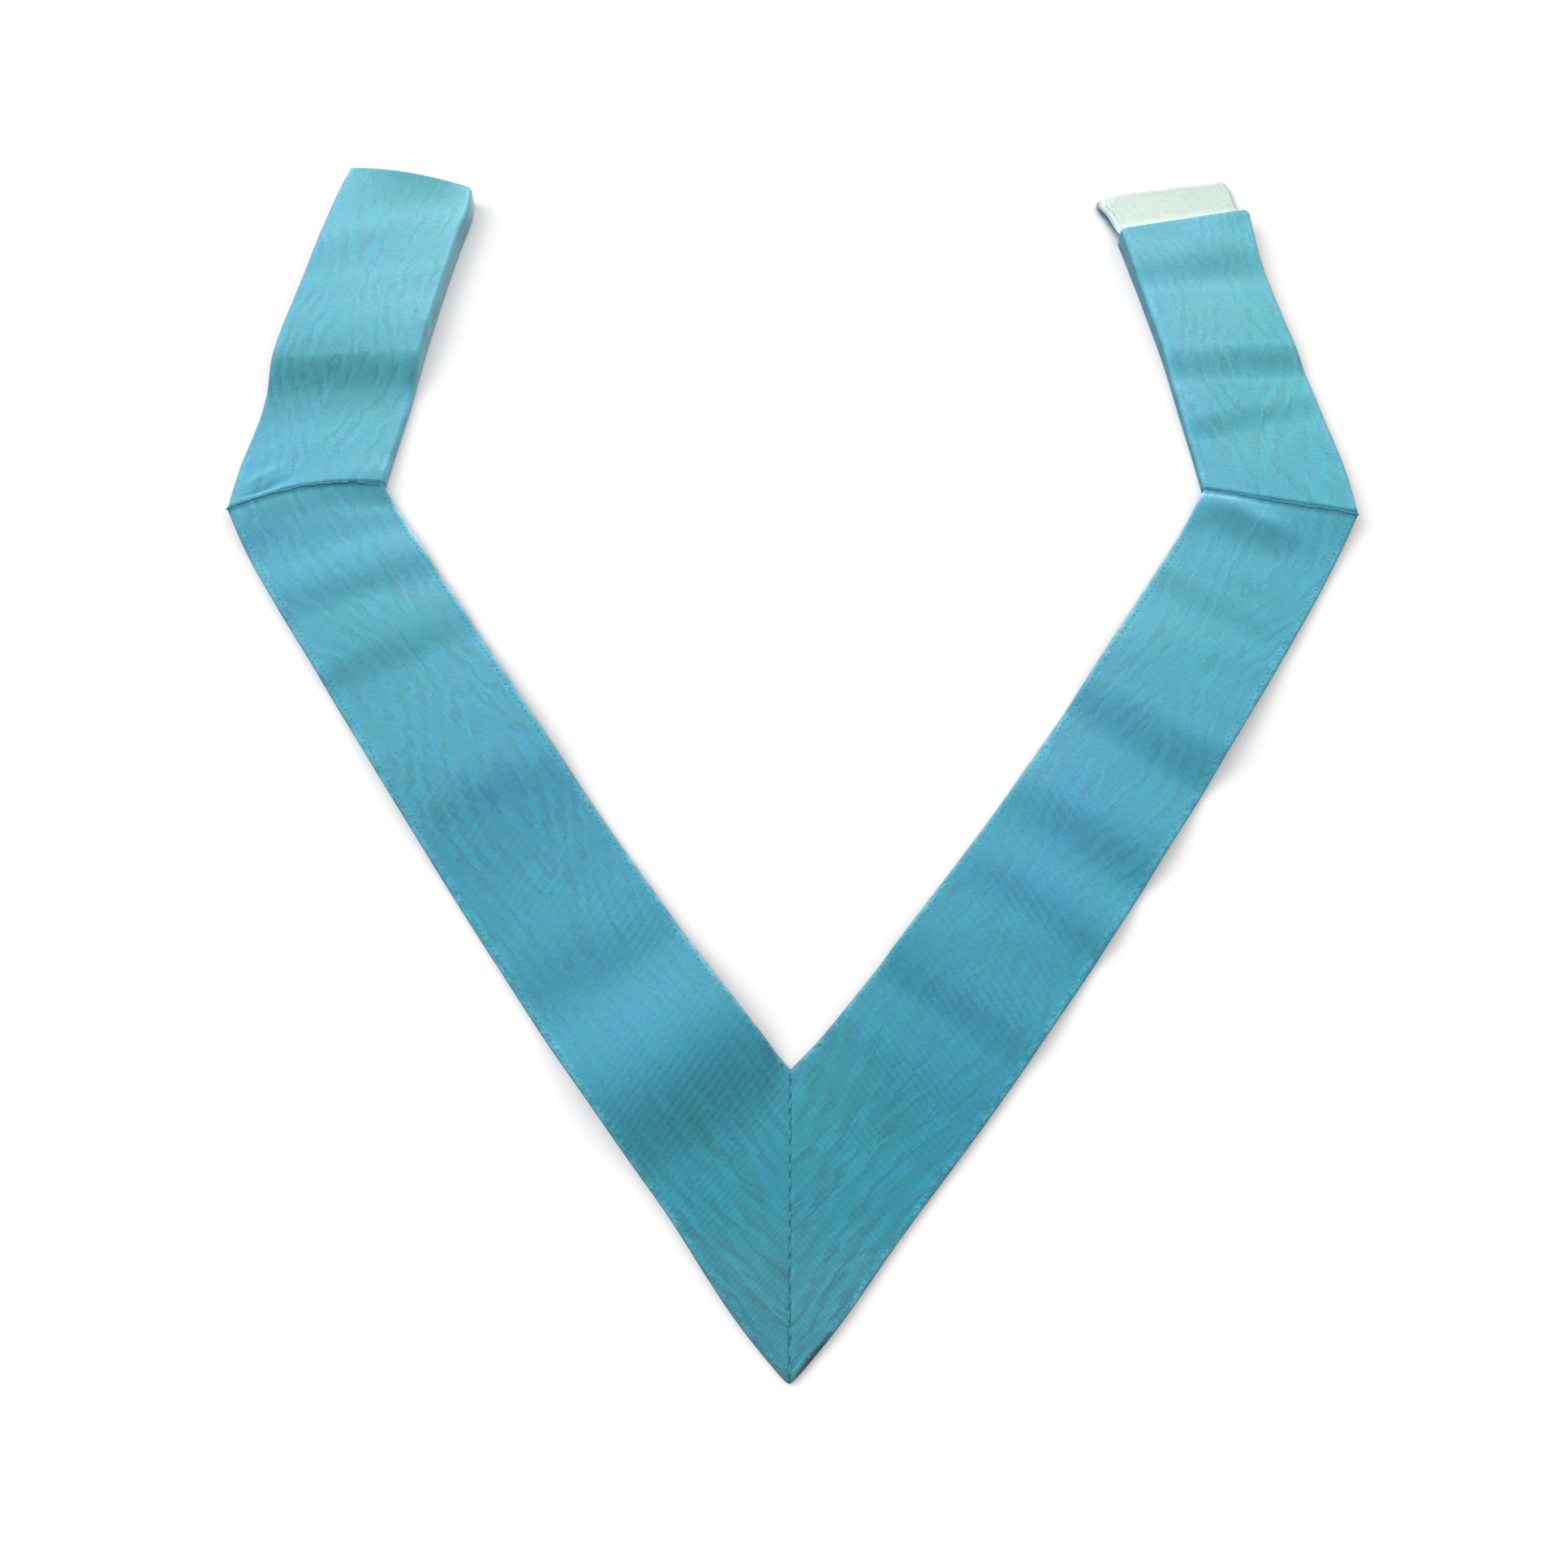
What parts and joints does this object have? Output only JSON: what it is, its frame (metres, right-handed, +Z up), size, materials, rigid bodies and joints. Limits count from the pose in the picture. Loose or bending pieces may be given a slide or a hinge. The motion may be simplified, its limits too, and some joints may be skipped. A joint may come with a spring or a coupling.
{
  "type": "collarette",
  "caption": "Collarette of pale blue watered ribbon, lying unfastened: front bands mitred to a point, neck straps mitred on at the shoulders, and a hook-and-loop fastening tab.",
  "frame": {"origin": "on the surface that the collarette lies on, under the middle of its box", "axes": "+Z up, square to the cloth; +Y from the point towards the neck ends; +X towards the strap with the fastening tab"},
  "size_m": [0.3822, 0.4502, 0.0084],
  "materials": {
    "ribbon": "ribbed silk-like ribbon, watered, soft gloss",
    "tape": "woven hook-and-loop tape, matt pile"
  },
  "bodies": {
    "root": {"left_front_band": "ribbon", "right_front_band": "ribbon", "left_neck_strap": "ribbon", "right_neck_strap": "ribbon", "fastening_tab": "tape", "mating_strip": "tape"}
  },
  "joints": []
}
